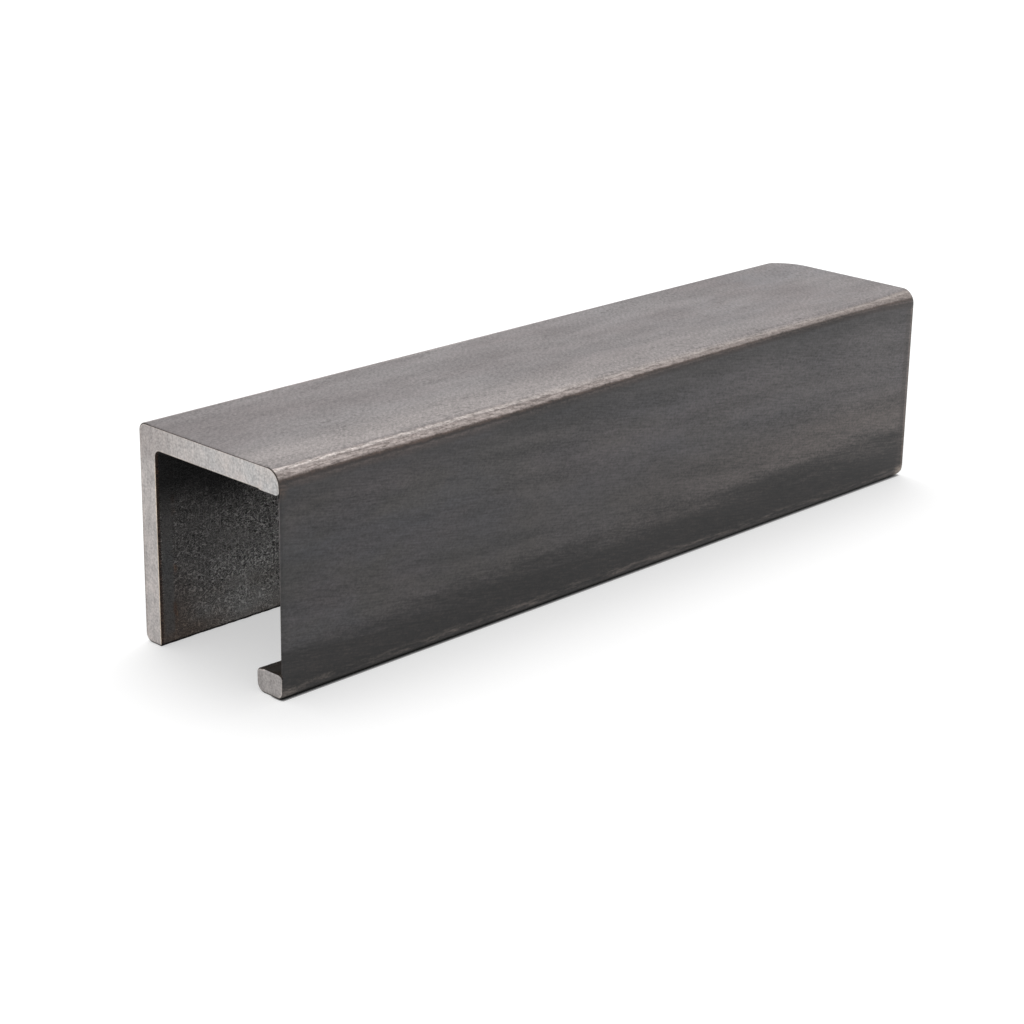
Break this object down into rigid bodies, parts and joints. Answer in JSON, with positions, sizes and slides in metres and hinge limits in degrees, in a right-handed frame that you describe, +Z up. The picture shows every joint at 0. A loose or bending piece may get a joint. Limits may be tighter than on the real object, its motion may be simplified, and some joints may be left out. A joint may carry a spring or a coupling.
{
  "type": "lipped steel c-channel",
  "caption": "Short cut length of dark hot-rolled steel channel lying on its toes: flat web on top, a plain flange, and a flange whose toe turns in to a thick lip.",
  "frame": {"origin": "middle of the footprint, on the plane that both toes rest on", "axes": "+X along the length, away from the bevelled end; +Y from the lipped flange to the plain flange; +Z up, from the toes to the web"},
  "size_m": [0.235, 0.05, 0.055],
  "materials": {
    "mill_scaled_steel": "hot-rolled, dark mill scale, matt; bare saw-cut grey on the cut end"
  },
  "bodies": {
    "root": {"channel": "mill_scaled_steel"}
  },
  "joints": []
}
